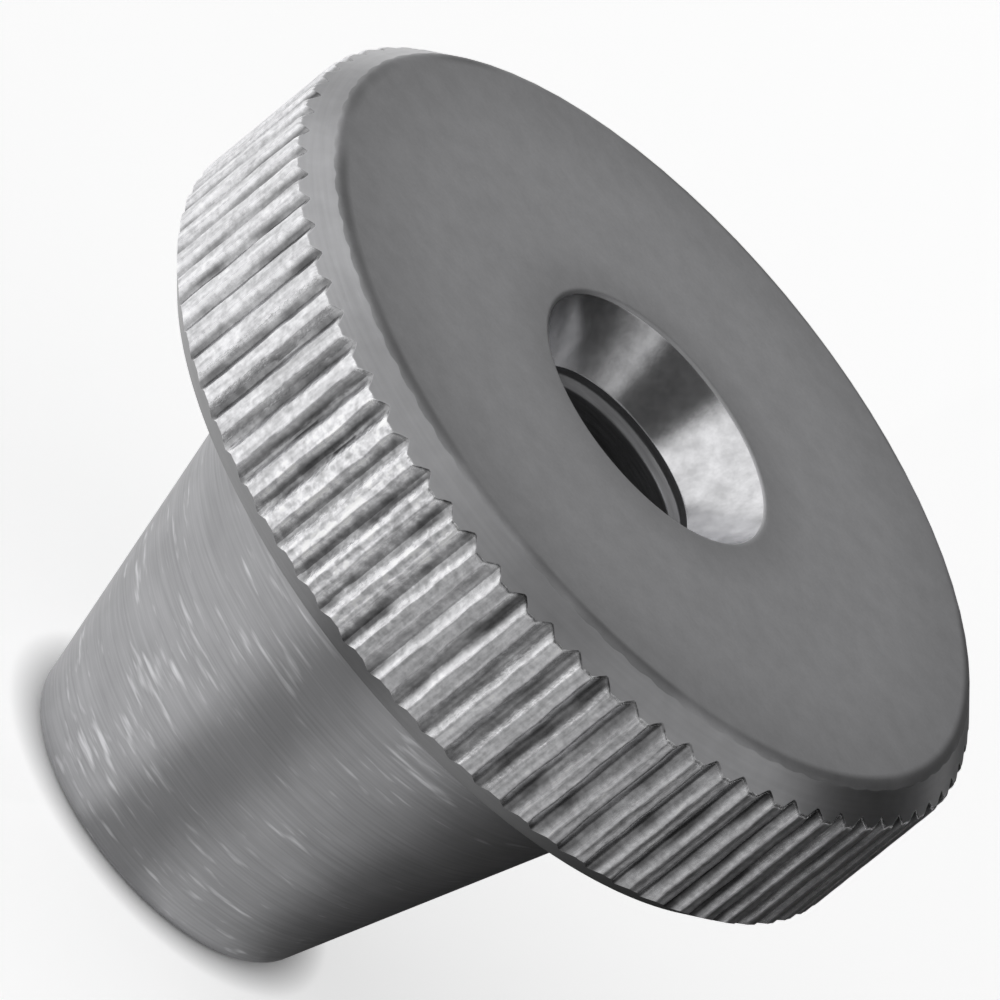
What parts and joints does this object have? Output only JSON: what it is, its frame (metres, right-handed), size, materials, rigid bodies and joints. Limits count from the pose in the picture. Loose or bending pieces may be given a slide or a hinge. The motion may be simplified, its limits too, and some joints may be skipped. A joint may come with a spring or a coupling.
{
  "type": "slicer knob",
  "caption": "Turned metal clamping knob: a disc head with a straight-knurled rim, a tapered hub behind it, and a through hole on its axis with a deep countersink.",
  "frame": {"origin": "centre of the hub's flat end face, on the turning axis", "axes": "+Z along the turning axis, from the hub's end towards the front face; X and Y are free, because the part is turned"},
  "size_m": [0.0381, 0.038, 0.0277],
  "materials": {
    "turned_aluminium": "turned and knurled, satin"
  },
  "bodies": {
    "root": {"knurled_knob": "turned_aluminium"}
  },
  "joints": []
}
